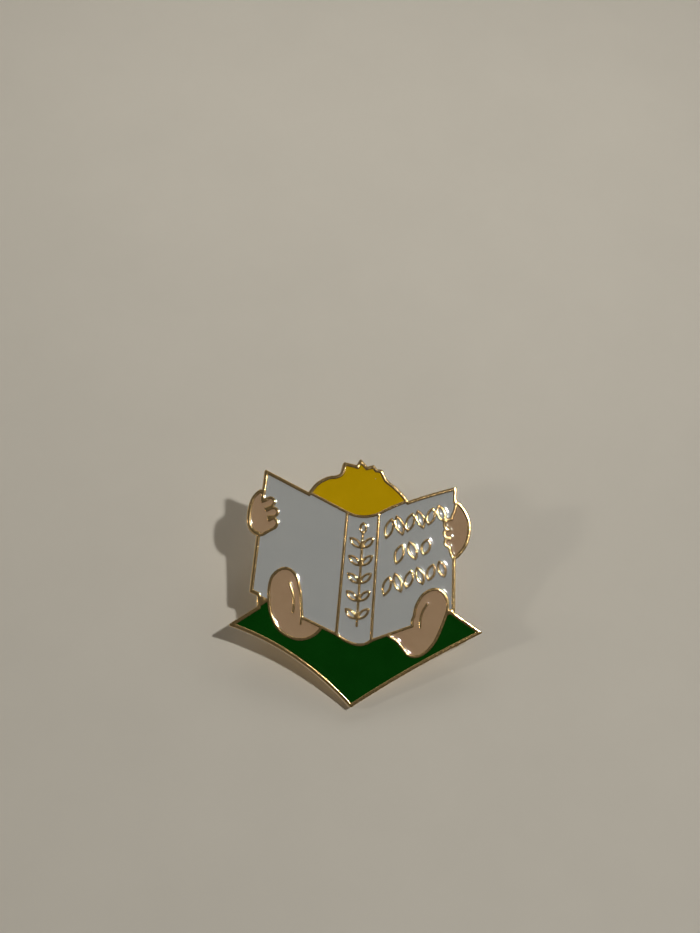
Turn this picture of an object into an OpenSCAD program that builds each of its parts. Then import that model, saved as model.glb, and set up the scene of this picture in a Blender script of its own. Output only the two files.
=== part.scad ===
// Soft enamel pin: a struck, gold-plated plate with enamel in its cells, showing a small
// reader behind a large open book on a mat, held to cloth by two posts and butterfly clutches.
//
// Millimetres. The pin stands as it is worn: its face looks along -Y, its top along +Z.
// The origin lies on the plate's flat back, midway between the two posts.
// The face is drawn in 2D as it is seen, X to the right and Y up, and then stood upright.

/* [Plate] */
// Thickness of the plate, raised lines included
plate_t = 1.5; // [1.2:0.1:2.0]
// Depth of the cells below the raised lines
cell_depth = 0.45; // [0.3:0.05:0.6]
// How far the enamel stays below the raised lines
enamel_drop = 0.08; // [0.02:0.01:0.15]
// Width of the rim around the outline
rim_w = 0.42; // [0.36:0.02:0.5]
// Width of the raised lines between two cells
line_w = 0.34; // [0.3:0.02:0.4]
// Width of the fine strokes that stand inside a cell
stroke_w = 0.28; // [0.22:0.02:0.32]
// Radius of the plate's corners
corner_r = 0.15; // [0.1:0.05:0.25]

/* [Posts] */
// Distance between the two posts
post_gap = 12.4; // [12:0.2:13]
// Radius of a post's shank
post_r = 0.55; // [0.5:0.01:0.6]
// Length of a post from the plate's back to its point
post_len = 7.2; // [7:0.1:8]
// Radius of the flange that a post is soldered by
flange_r = 2.0; // [1.6:0.1:2.2]
// Thickness of the flange
flange_t = 0.35; // [0.3:0.05:0.4]
// Width of the solder bead around the flange
solder_w = 0.4; // [0.3:0.05:0.5]
// Depth of the round seat that takes the flange
seat_depth = 0.15; // [0.1:0.05:0.2]
// Height of the first of the three grip grooves
groove_y = 1.8; // [1.7:0.05:1.9]
// Distance from one grip groove to the next
groove_step = 1.25; // [1.2:0.05:1.3]

/* [Clutches] */
// Gap between the plate's back and a clutch, where the cloth goes
cloth_gap = 2.05; // [2.05:0.05:2.3]
// Outer radius of a clutch
clutch_r = 5.0; // [4.8:0.1:5.2]
// Thickness of the clutch's sheet brass
sheet_t = 0.3; // [0.26:0.02:0.32]
// Half the width of a wing where it leaves its slot
wing_half = 2.6; // [2.4:0.1:2.8]
// Height of the wings above the clutch's cloth face
wing_top = 4.75; // [4.5:0.05:5]

/* [Hidden] */
$fn = 48;

LEFT = -1;
RIGHT = 1;
gold = [0.80, 0.62, 0.30];
brass = [0.83, 0.69, 0.36];
cell_floor = plate_t - cell_depth;      // height of the cells' floor above the back
enamel_top = plate_t - enamel_drop;
foot_r = 0.95;                          // radius of the post's flared foot
foot_h = 0.45;                          // height that the flare takes up
groove_w = 0.3;
groove_deep = 0.11;
barb = 0.03;                            // how much each land tapers towards the point
tip_len = 1.5;                          // length of the post's point
tip_r = 0.08;
bore_r = post_r + 0.07;                 // hole in the cup: the post's running clearance
jaw_r = post_r + 0.05;                  // notch in each jaw
cup_floor = 0.35;                       // thickness of the cup's drawn floor
cup_h = 1.5;                            // height of the rolled lip
slot_low = 1.3;                         // height down to which the slots reach
skirt_r = clutch_r - 0.4;               // the cover's outer radius, inside the cup's wall
cover_h = 2.3;                          // height of the cover's flat top
pivot_x = 2.9;                          // where a wing rocks in its slot
pivot_h = cover_h - sheet_t / 2;
slot_x = [2.45, 3.4];

// ---------- the drawing's corners and curves, as seen from the front ----------

// the open book: outer corners of the two covers and of the spine
cover_top_left = [-10.9, 9.3];
cover_low_left = [-12.6, -5.2];
spine_top_left = [-1.1, 4.3];
spine_low_left = [-2.4, -10.1];
spine_top_right = [2.7, 4.2];
spine_low_right = [1.7, -10.8];
cover_top_right = [12.1, 7.6];
cover_low_right = [11.75, -7.3];
// what each curved edge bends towards
spine_top_bend = [0.6, 3.4];
spine_low_bend = [0.2, -12.1];
cover_top_bend = [5.6, 5.9];

// the mat's corners, with the bends of its two front edges
mat_left = [-15.1, -9.1];
mat_front = [-0.7, -18.6];
mat_right = [15.1, -9.8];
mat_back = [0, 0.5];
mat_left_bend = [-6.9, -11.8];
mat_right_bend = [6.8, -13.8];

// a curve from a to b that bends towards c
function bend(a, c, b, n = 8) =
    [for (i = [0:n]) let (t = i / n) pow(1 - t, 2) * a + 2 * t * (1 - t) * c + t * t * b];

// one point of the smooth curve through p[i] and p[i + 1], with t from 0 to 1
function between(p, i, t) =
    let (n = len(p), a = p[(i + n - 1) % n], b = p[i % n], c = p[(i + 1) % n], d = p[(i + 2) % n])
    0.5 * (2 * b + (c - a) * t + (2 * a - 5 * b + 4 * c - d) * t * t
           + (3 * b - a - 3 * c + d) * t * t * t);

// a smooth closed outline through the points, with n steps from each to the next
function smooth(p, n = 4) = [for (i = [0:len(p) - 1]) for (k = [0:n - 1]) between(p, i, k / n)];

// a smooth open line through the points
function smooth_line(p, n = 4) =
    let (q = concat([2 * p[0] - p[1]], p, [2 * p[len(p) - 1] - p[len(p) - 2]]))
    concat([for (i = [1:len(p) - 1]) for (k = [0:n - 1]) between(q, i, k / n)], [p[len(p) - 1]]);

// a bar with round ends
module bar(a, b, r) {
    d = b - a;
    translate(a) circle(r, $fn = 16);
    translate(b) circle(r, $fn = 16);
    translate(a) rotate(atan2(d[1], d[0])) translate([0, -r]) square([norm(d), 2 * r]);
}

// a line of bars from point to point
module stroke(p, r = stroke_w / 2) for (i = [0:len(p) - 2]) bar(p[i], p[i + 1], r);

module book_left_2d()
    polygon([cover_top_left, spine_top_left, spine_low_left, cover_low_left]);

module book_spine_2d()
    polygon(concat(bend(spine_top_left, spine_top_bend, spine_top_right),
                   bend(spine_low_right, spine_low_bend, spine_low_left)));

module book_right_2d()
    polygon(concat(bend(spine_top_right, cover_top_bend, cover_top_right),
                   [cover_low_right, spine_low_right]));

module book_2d() {
    book_left_2d();
    book_spine_2d();
    book_right_2d();
}

// the reader's hair: a round head with a tuft of four short spikes
module hair_2d() {
    side_left = [[-5.7, 6.7], [-4.8, 7.8], [-3.5, 8.55], [-2.4, 8.75], [-1.85, 9.15], [-1.5, 10.35]];
    tuft = [[0.05, 10.0], [0.5, 10.8], [1.3, 9.85], [2.1, 10.05], [2.5, 9.55], [3.1, 9.5]];
    side_right = [[3.1, 9.5], [3.7, 8.3], [4.7, 7.5], [5.6, 6.6], [6.4, 5.6]];
    polygon(concat(smooth_line(side_left), tuft, smooth_line(side_right), [[0.5, 2]]));
}

module mat_2d()
    polygon(concat(bend(mat_left, mat_left_bend, mat_front, 16),
                   bend(mat_front, mat_right_bend, mat_right, 16), [mat_back]));

module hand_left_2d() {
    palm = [[-11.4, 6.9], [-12.4, 6.0], [-12.9, 4.3], [-12.9, 2.7], [-12.2, 1.7], [-11.2, 1.5],
            [-10.3, 2.4], [-10.6, 4.2], [-11.1, 5.4], [-11.1, 6.3]];
    polygon(smooth(palm));
    bar([-10.9, 5.05], [-10.25, 5.4], 0.5);
    bar([-10.6, 4.1], [-9.85, 4.2], 0.5);
    bar([-10.9, 2.45], [-10.1, 2.9], 0.68);
}

module hand_right_2d() {
    palm = [[12.2, 5.8], [13.1, 4.9], [13.7, 3.6], [13.75, 2.2], [13.4, 0.7], [12.6, -0.5],
            [11.8, -1.1], [11.2, -0.1], [11.2, 1.8], [11.4, 3.6], [11.8, 4.7]];
    polygon(smooth(palm));
    bar([11.15, 3.0], [11.7, 3.1], 0.62);
    bar([11.0, 1.95], [11.6, 2.0], 0.5);
    bar([11.15, 0.85], [11.7, 0.7], 0.55);
}

// each foot stands over the book's lower edge, but its toes reach under the book
module foot_left_2d() difference() {
    polygon(smooth([[-8.5, -2.4], [-9.9, -3.3], [-10.35, -5.2], [-10.1, -7.7], [-9.0, -9.7],
                    [-7.0, -10.7], [-5.1, -10.25], [-4.1, -9.0], [-5.2, -7.8], [-6.4, -7.6],
                    [-6.6, -5.4], [-7.2, -3.2]]));
    intersection() {
        book_2d();
        translate([-6.45, -12]) square([4, 5]);
    }
}

module foot_right_2d() difference() {
    polygon(smooth([[9.4, -4.7], [8.0, -5.3], [7.1, -6.7], [6.6, -8.4], [5.2, -9.2], [3.6, -10.0],
                    [4.8, -10.9], [5.5, -11.8], [6.4, -12.6], [7.8, -12.4], [9.2, -11.0],
                    [10.3, -8.7], [10.9, -6.7], [10.5, -5.3]]));
    intersection() {
        book_2d();
        translate([2.6, -11]) square([4, 5]);
    }
}

// everything that lies over the book's covers
module limbs_2d() {
    hand_left_2d();
    hand_right_2d();
    foot_left_2d();
    foot_right_2d();
}

// the web of metal that fills the corner between the book and the mat's left edge
module web_2d() polygon([[-11.7, -5.4], [-11.7, -7.0], [-9.9, -5.8]]);

// the pin's outline, its corners rounded by the trimming die
module outline_2d()
    offset(r = corner_r) offset(delta = -2 * corner_r) offset(delta = corner_r) {
        book_2d();
        hair_2d();
        mat_2d();
        limbs_2d();
        web_2d();
    }

// a cell: the first child's area, less what the second child covers and the strokes of the
// third, inside lines and rim, with its corners as round as the enamel leaves them
module cell_2d()
    offset(r = 0.06, $fn = 16) offset(delta = -0.06) difference() {
        intersection() {
            offset(delta = -line_w / 2) children(0);
            offset(delta = -rim_w) outline_2d();
        }
        offset(delta = line_w / 2) children(1);
        if ($children > 2) children(2);
    }

module none() {}

module cell_hair_2d() cell_2d() { hair_2d(); book_2d(); }

module cell_mat_2d() cell_2d() { mat_2d(); union() { book_2d(); limbs_2d(); } }

module cell_cover_left_2d() cell_2d() { book_left_2d(); limbs_2d(); }

module cell_spine_2d() cell_2d() { book_spine_2d(); limbs_2d(); sprig_2d(); }

module cell_cover_right_2d() cell_2d() { book_right_2d(); limbs_2d(); bands_2d(); }

module cell_hand_left_2d() cell_2d() {
    hand_left_2d();
    none();
    union() {
        stroke([[-11.15, 7.3], [-11.2, 5.45], [-10.7, 5.6]], line_w / 2);
        stroke([[-9.9, 4.75], [-10.7, 4.35]]);
        stroke([[-9.6, 3.6], [-10.4, 3.2]]);
    }
}

module cell_hand_right_2d() cell_2d() {
    hand_right_2d();
    none();
    stroke([[11.85, 7], [11.8, 4.6], [11.4, 3.8]], line_w / 2);
}

module cell_foot_left_2d() cell_2d() {
    foot_left_2d();
    none();
    union() {
        stroke(smooth_line([[-7.9, -4.1], [-7.5, -5.4], [-7.4, -6.6], [-7.5, -7.5]], 3));
        stroke([[-6.4, -7.8], [-6.6, -8.9]]);
    }
}

module cell_foot_right_2d() cell_2d() {
    foot_right_2d();
    none();
    stroke(smooth_line([[8.4, -6.5], [7.9, -7.3], [7.6, -8.2], [7.55, -9.2]], 3));
}

// ---------- plain ornament on the book ----------

// an open leaf of length len_ and width wide, lying along X from the origin
module leaf_2d(len_, wide) {
    r = (len_ * len_ / 4 + wide * wide / 4) / wide;     // radius of the leaf's two arcs
    half = asin(len_ / 2 / r);
    arc = [for (a = [-half:half / 4:half]) [len_ / 2 + r * sin(a), wide / 2 - r + r * cos(a)]];
    under = [for (i = [len(arc) - 2:-1:1]) [arc[i][0], -arc[i][1]]];
    difference() {
        polygon(concat(arc, under));
        offset(delta = -stroke_w) polygon(concat(arc, under));
    }
}

// a row of open leaves that lean left and right in turn, from a to b, growing from one size
module leaf_row_2d(a, b, count, tall, wide)
    for (i = [0:count - 1]) {
        t = count == 1 ? 0.5 : i / (count - 1);
        size = tall * (1 - 0.18 * t);
        lean = i % 2 == 0 ? 72 : 108;
        translate(a + (b - a) * t) rotate(lean) translate([-size / 2, 0]) leaf_2d(size, wide);
    }

// three rows across the right cover, rising with its top edge
module bands_2d() {
    leaf_row_2d([3.9, 2.45], [10.2, 4.35], 6, 2.75, 1.15);
    leaf_row_2d([5.1, -0.6], [8.3, 0.3], 3, 2.65, 1.25);
    leaf_row_2d([3.6, -4.4], [10.2, -2.3], 6, 2.65, 1.15);
}

// a sprig up the spine: a stem with pairs of open leaves
module sprig_2d() {
    foot = [0.0, -9.1];
    tip = [0.75, 1.7];
    pairs = 5;
    stroke([foot, tip]);
    for (i = [0:pairs - 1]) {
        at = foot + (tip - foot) * (i + 0.35) / (pairs + 0.15);
        for (side = [-1, 1]) translate(at) rotate(90 - side * 48) leaf_2d(2.0, 0.95);
    }
    translate(tip) rotate(86) leaf_2d(1.5, 0.95);
}

// ---------- the plate and its enamel ----------

// stand a drawing upright, from height low to height high above the plate's back
module struck(low, high)
    rotate([90, 0, 0]) translate([0, 0, low]) linear_extrude(high - low) children();

// a drawing as one clean outline
module traced() offset(delta = 0) children();

module cells_2d() {
    cell_hair_2d();
    cell_mat_2d();
    cell_cover_left_2d();
    cell_spine_2d();
    cell_cover_right_2d();
    cell_hand_left_2d();
    cell_hand_right_2d();
    cell_foot_left_2d();
    cell_foot_right_2d();
}

module base_plate() color(gold) difference() {
    struck(0, plate_t) traced() outline_2d();
    struck(cell_floor, plate_t + 1) traced() cells_2d();
    for (side = [LEFT, RIGHT]) on_post(side)
        translate([0, 0, -seat_depth]) cylinder(r = flange_r + solder_w, h = 1);
}

module enamel(tint) color(tint) struck(cell_floor, enamel_top) traced() children();

module enamel_hair() enamel([0.86, 0.70, 0.02]) cell_hair_2d();
module enamel_cover_left() enamel([0.88, 0.90, 0.92]) cell_cover_left_2d();
module enamel_spine() enamel([0.88, 0.90, 0.92]) cell_spine_2d();
module enamel_cover_right() enamel([0.88, 0.90, 0.92]) cell_cover_right_2d();
module enamel_hand_left() enamel([0.86, 0.68, 0.56]) cell_hand_left_2d();
module enamel_hand_right() enamel([0.86, 0.68, 0.56]) cell_hand_right_2d();
module enamel_foot_left() enamel([0.86, 0.68, 0.56]) cell_foot_left_2d();
module enamel_foot_right() enamel([0.86, 0.68, 0.56]) cell_foot_right_2d();
module enamel_mat() enamel([0.03, 0.40, 0.10]) cell_mat_2d();

// ---------- posts ----------

// move to a post's foot, with Z running out along the post
module on_post(side) translate([side * post_gap / 2, 0, 0]) rotate([-90, 0, 0]) children();

// the profile points of grip groove i: a V, whose upper edge starts the next tapered land
function groove(i) =
    let (h = groove_y + i * groove_step)
    [[i == 0 ? post_r : post_r - barb, h], [post_r - groove_deep, h + groove_w / 2],
     [post_r, h + groove_w]];

// a headed post: flange, flared foot, shank with three grooves like barbs, and point
module post(side) {
    top = flange_t - seat_depth;
    flare = [for (i = [0:4]) let (a = 90 * i / 4)
        [foot_r - (foot_r - post_r) * sin(a), top + foot_h * (1 - cos(a))]];
    grooves = [for (i = [0:2]) each groove(i)];
    point = [[post_r - barb, post_len - tip_len], [tip_r, post_len], [0, post_len]];
    color(brass) on_post(side) rotate_extrude() polygon(concat(
        [[0, -seat_depth], [flange_r, -seat_depth], [flange_r, top]], flare, grooves, point));
}

module post_left() post(LEFT);
module post_right() post(RIGHT);

// the bead of solder between the flange's edge and its seat
module solder(side) color("lightgray") on_post(side) rotate_extrude() polygon([
    [flange_r, -seat_depth], [flange_r + solder_w, -seat_depth],
    [flange_r + solder_w, 0], [flange_r + solder_w * 0.4, 0.06], [flange_r, flange_t - seat_depth - 0.03]]);

module solder_left() solder(LEFT);
module solder_right() solder(RIGHT);

// ---------- butterfly clutches ----------

// move to a clutch's cloth face, with Z running out along its post
module on_clutch(side) on_post(side) translate([0, 0, cloth_gap]) children();

// drawn cup with a raised centre and a lip rolled in over the cover
module cup(side) color(brass) on_clutch(side) rotate_extrude() polygon([
    [bore_r, 0.2], [1.5, 0], [clutch_r - 0.3, 0], [clutch_r - 0.09, 0.09], [clutch_r, 0.3],
    [clutch_r, cup_h - 0.2], [clutch_r - 0.06, cup_h - 0.06], [clutch_r - 0.2, cup_h],
    [clutch_r - 0.65, cup_h], [clutch_r - 0.65, cup_h - 0.25], [clutch_r - 0.35, cup_h - 0.3],
    [clutch_r - 0.35, cup_floor], [1.6, cup_floor], [1.0, 0.5], [bore_r, 0.5]]);

// domed cover, held under the lip, with a hole for the post and a slot for each wing
module cover(side) color(brass) on_clutch(side) difference() {
    rotate_extrude() polygon([
        [skirt_r, cup_floor + 0.03], [skirt_r, cup_h - 0.32], [skirt_r - 0.65, cup_h - 0.32],
        [skirt_r - 1.0, cover_h - 0.12], [skirt_r - 1.15, cover_h], [0.9, cover_h],
        [0.9, cover_h - sheet_t], [skirt_r - 1.28, cover_h - sheet_t],
        [skirt_r - 0.92, cup_h - 0.32 - sheet_t], [skirt_r - sheet_t, cup_h - 0.32 - sheet_t],
        [skirt_r - sheet_t, cup_floor + 0.03]]);
    for (way = [-1, 1]) translate([way > 0 ? slot_x[0] : -slot_x[1], -wing_half - 0.15, slot_low])
        cube([slot_x[1] - slot_x[0], 2 * wing_half + 0.3, 2]);
}

// the middle line of a wing's strip, from its jaw out to its curled edge, in X and height
wing_line = smooth_line([[0.1, 1.3], [2.0, 1.42], [2.7, 1.65], [pivot_x, pivot_h], [3.25, 3.1],
                         [3.7, 4.0], [4.3, wing_top - sheet_t / 2]], 3);

// unit vector across a line at its point i
function across(p, i) =
    let (d = p[min(i + 1, len(p) - 1)] - p[max(i - 1, 0)]) [-d[1], d[0]] / norm(d);

// a strip of the sheet's thickness along a line
function strip(p) = concat(
    [for (i = [0:len(p) - 1]) p[i] + across(p, i) * sheet_t / 2],
    [for (i = [len(p) - 1:-1:0]) p[i] - across(p, i) * sheet_t / 2]);

// one wing with its jaw: way is -1 towards -X and 1 towards +X
module wing(side, way) color(brass) on_clutch(side) mirror([way < 0 ? 1 : 0, 0, 0])
    difference() {
        intersection() {
            rotate([90, 0, 0]) linear_extrude(8, center = true) polygon(strip(wing_line));
            union() {
                // the jaw widens from the post to the slot
                linear_extrude(pivot_h) polygon([
                    [0, -1.5], [1.4, -1.6], [2.3, -1.95], [2.65, -wing_half], [4, -wing_half],
                    [4, wing_half], [2.65, wing_half], [2.3, 1.95], [1.4, 1.6], [0, 1.5]]);
                // the wing flares and has round corners
                translate([slot_x[0] + 0.08, 0, pivot_h]) rotate([90, 0, 90]) linear_extrude(3)
                    offset(r = 1, $fn = 32) polygon([
                        [1 - wing_half, -0.5], [0.9 - wing_half, 0.6], [0.55 - wing_half, 1.25],
                        [wing_half - 0.55, 1.25], [wing_half - 0.9, 0.6], [wing_half - 1, -0.5]]);
            }
        }
        cylinder(r = jaw_r, h = pivot_h);
    }

module cup_left() cup(LEFT);
module cup_right() cup(RIGHT);
module cover_left() cover(LEFT);
module cover_right() cover(RIGHT);
module wing_left_outer() wing(LEFT, -1);
module wing_left_inner() wing(LEFT, 1);
module wing_right_inner() wing(RIGHT, -1);
module wing_right_outer() wing(RIGHT, 1);

base_plate();
enamel_hair();
enamel_cover_left();
enamel_spine();
enamel_cover_right();
enamel_hand_left();
enamel_hand_right();
enamel_foot_left();
enamel_foot_right();
enamel_mat();
post_left();
post_right();
solder_left();
solder_right();
cup_left();
cover_left();
wing_left_outer();
wing_left_inner();
cup_right();
cover_right();
wing_right_inner();
wing_right_outer();
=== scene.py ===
"""The looks of a soft enamel pin with two butterfly clutches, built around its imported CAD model."""

import logging
import math
from collections.abc import Callable, Iterable, Sequence
from dataclasses import dataclass, field
from enum import Enum

import bmesh
import bpy
import numpy as np
from mathutils import Matrix, Vector
from mathutils.geometry import delaunay_2d_cdt
from mathutils.kdtree import KDTree


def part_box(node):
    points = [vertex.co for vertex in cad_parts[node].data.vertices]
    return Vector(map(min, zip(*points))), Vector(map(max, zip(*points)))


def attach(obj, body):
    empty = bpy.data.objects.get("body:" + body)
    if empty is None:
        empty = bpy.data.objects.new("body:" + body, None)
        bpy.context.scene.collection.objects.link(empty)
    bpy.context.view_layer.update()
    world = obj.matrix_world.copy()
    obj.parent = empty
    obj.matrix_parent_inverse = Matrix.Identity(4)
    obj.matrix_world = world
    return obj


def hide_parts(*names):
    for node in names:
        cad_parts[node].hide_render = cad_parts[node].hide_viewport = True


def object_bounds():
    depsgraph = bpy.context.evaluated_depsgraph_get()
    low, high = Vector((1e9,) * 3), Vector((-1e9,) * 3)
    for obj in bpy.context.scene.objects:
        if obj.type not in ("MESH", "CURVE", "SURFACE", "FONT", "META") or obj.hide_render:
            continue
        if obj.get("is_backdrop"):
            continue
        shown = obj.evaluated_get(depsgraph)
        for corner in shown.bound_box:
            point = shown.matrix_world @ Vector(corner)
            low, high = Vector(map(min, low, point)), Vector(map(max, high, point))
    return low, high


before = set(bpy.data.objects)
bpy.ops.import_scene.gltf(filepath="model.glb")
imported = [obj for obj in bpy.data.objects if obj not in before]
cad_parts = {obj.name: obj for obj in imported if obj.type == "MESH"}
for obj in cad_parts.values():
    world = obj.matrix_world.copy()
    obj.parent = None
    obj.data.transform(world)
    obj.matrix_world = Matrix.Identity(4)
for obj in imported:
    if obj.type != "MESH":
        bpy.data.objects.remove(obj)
CAD_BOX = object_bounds()

LOG = logging.getLogger("enamel_pin")
MM = 0.001  # one millimetre, in metres
MERGE = 2e-7  # points closer than this, in metres, are one point
SEGMENTS = 72  # parts of a full turn, where a piece doesn't say
Loop = np.ndarray
Rings = list[list[int]]
Colour = tuple[float, float, float]


class Side(Enum):
    """Which post and clutch a piece belongs to, as seen from the front."""

    LEFT = "left"
    RIGHT = "right"


class Pigment(Enum):
    """The colours of the enamel, by the record's material slot."""

    YELLOW = "enamel_yellow"
    WHITE = "enamel_white"
    SKIN = "enamel_skin"
    GREEN = "enamel_green"


# ---------- shader node groups that several finishes share ----------


def new_group(name: str, inputs: dict[str, float], outputs: Sequence[str]) -> bpy.types.NodeTree:
    """Start a shader node group with a position input and named numbers.

    Args:
        name: The group's name.
        inputs: Names of the number inputs, with their defaults.
        outputs: Names of the outputs, all numbers.

    Returns:
        The group, with its input and output nodes.
    """
    tree = bpy.data.node_groups.new(name, "ShaderNodeTree")
    tree.interface.new_socket("Position", in_out="INPUT", socket_type="NodeSocketVector")
    for title, value in inputs.items():
        socket = tree.interface.new_socket(title, in_out="INPUT", socket_type="NodeSocketFloat")
        socket.default_value = value
    for title in outputs:
        tree.interface.new_socket(title, in_out="OUTPUT", socket_type="NodeSocketFloat")
    tree.nodes.new("NodeGroupInput").name = "in"
    tree.nodes.new("NodeGroupOutput").name = "out"
    return tree


def add_node(tree: bpy.types.NodeTree, kind: str, links: dict, **settings: object) -> bpy.types.Node:
    """Add a node, set it up and link or set its inputs.

    Args:
        tree: The node tree.
        kind: The node's type.
        links: Input name or number to a socket to link from, or to a value.
        settings: Attributes of the node.

    Returns:
        The new node.
    """
    node = tree.nodes.new(kind)
    for key, value in settings.items():
        setattr(node, key, value)
    for key, value in links.items():
        if isinstance(value, bpy.types.NodeSocket):
            tree.links.new(value, node.inputs[key])
        else:
            node.inputs[key].default_value = value
    return node


def math_node(tree: bpy.types.NodeTree, operation: str, *values: object) -> bpy.types.NodeSocket:
    """Add a Math node.

    Args:
        tree: The node tree.
        operation: What it does.
        values: Its two or three inputs, each a socket or a number.

    Returns:
        Its result.
    """
    node = add_node(tree, "ShaderNodeMath", dict(enumerate(values)), operation=operation)
    return node.outputs[0]


def ramp_between(tree: bpy.types.NodeTree, value: object, low: object, high: object,
                 to_low: float = 0.0, to_high: float = 1.0) -> bpy.types.NodeSocket:
    """Add a clamped Map Range node.

    Args:
        tree: The node tree.
        value: What it maps.
        low: The value that gives to_low.
        high: The value that gives to_high.
        to_low: The result at low.
        to_high: The result at high.

    Returns:
        Its result.
    """
    node = add_node(tree, "ShaderNodeMapRange", {
        "Value": value, "From Min": low, "From Max": high, "To Min": to_low, "To Max": to_high})
    return node.outputs["Result"]


def make_patina() -> bpy.types.NodeTree:
    """Cloudy unevenness of a surface: a soft mask and the height of its fine ripples.

    Returns:
        The group.
    """
    tree = new_group("patina", {"Cloud Size mm": 2.0, "Ripple Size mm": 0.2}, ("Mask", "Height"))
    given = tree.nodes["in"].outputs
    per_mm = [math_node(tree, "DIVIDE", 1.0 / MM, given[name])
              for name in ("Cloud Size mm", "Ripple Size mm")]
    cloud = add_node(tree, "ShaderNodeTexNoise", {
        "Vector": given["Position"], "Scale": per_mm[0], "Detail": 4.0, "Roughness": 0.6})
    ripple = add_node(tree, "ShaderNodeTexNoise", {
        "Vector": given["Position"], "Scale": per_mm[1], "Detail": 2.0})
    out = tree.nodes["out"].inputs
    tree.links.new(ramp_between(tree, cloud.outputs["Fac"], 0.3, 0.7), out["Mask"])
    tree.links.new(ripple.outputs["Fac"], out["Height"])
    return tree


def make_hairlines() -> bpy.types.NodeTree:
    """Hairline scratches that run two ways: a mask that is 1 in a scratch.

    Returns:
        The group.
    """
    tree = new_group("hairlines", {"Gap mm": 1.2, "Sharpness": 0.72}, ("Mask",))
    given = tree.nodes["in"].outputs
    scale = math_node(tree, "DIVIDE", 1.0 / MM, given["Gap mm"])
    masks = []
    for turn, squeeze in ((0.5, (0.06, 1.0, 1.0)), (-0.9, (1.0, 1.0, 0.05))):
        placed = add_node(tree, "ShaderNodeMapping", {
            "Vector": given["Position"], "Rotation": (0.0, turn, 0.0), "Scale": squeeze})
        noise = add_node(tree, "ShaderNodeTexNoise", {
            "Vector": placed.outputs[0], "Scale": scale, "Detail": 3.0, "Roughness": 0.7})
        top = math_node(tree, "ADD", given["Sharpness"], 0.06)
        masks.append(ramp_between(tree, noise.outputs["Fac"], given["Sharpness"], top))
    tree.links.new(math_node(tree, "MAXIMUM", *masks), tree.nodes["out"].inputs["Mask"])
    return tree


def make_specks() -> bpy.types.NodeTree:
    """Scattered round specks, as dust or pits: a mask that is 1 inside a speck.

    Returns:
        The group.
    """
    tree = new_group("specks", {"Spacing mm": 1.5, "Speck Size": 0.05}, ("Mask",))
    given = tree.nodes["in"].outputs
    scale = math_node(tree, "DIVIDE", 1.0 / MM, given["Spacing mm"])
    cells = add_node(tree, "ShaderNodeTexVoronoi", {"Vector": given["Position"], "Scale": scale})
    half = math_node(tree, "MULTIPLY", given["Speck Size"], 0.5)
    ring = ramp_between(tree, cells.outputs["Distance"], given["Speck Size"], half)
    tree.links.new(ring, tree.nodes["out"].inputs["Mask"])
    return tree


def make_stipple() -> bpy.types.NodeTree:
    """The grain of a blasted or coined die surface: a height and a mask of its hollows.

    Returns:
        The group.
    """
    tree = new_group("stipple", {"Grain mm": 0.09}, ("Height", "Hollows"))
    given = tree.nodes["in"].outputs
    scale = math_node(tree, "DIVIDE", 1.0 / MM, given["Grain mm"])
    cells = add_node(tree, "ShaderNodeTexVoronoi", {
        "Vector": given["Position"], "Scale": scale}, feature="SMOOTH_F1")
    noise = add_node(tree, "ShaderNodeTexNoise", {
        "Vector": given["Position"], "Scale": scale, "Detail": 2.0})
    both = math_node(tree, "ADD", cells.outputs["Distance"], noise.outputs["Fac"])
    out = tree.nodes["out"].inputs
    tree.links.new(math_node(tree, "MULTIPLY", both, 0.5), out["Height"])
    tree.links.new(ramp_between(tree, both, 0.7, 1.1), out["Hollows"])
    return tree


GROUPS = {"patina": make_patina(), "hairlines": make_hairlines(),
          "specks": make_specks(), "stipple": make_stipple()}


# ---------- finishes ----------

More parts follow.
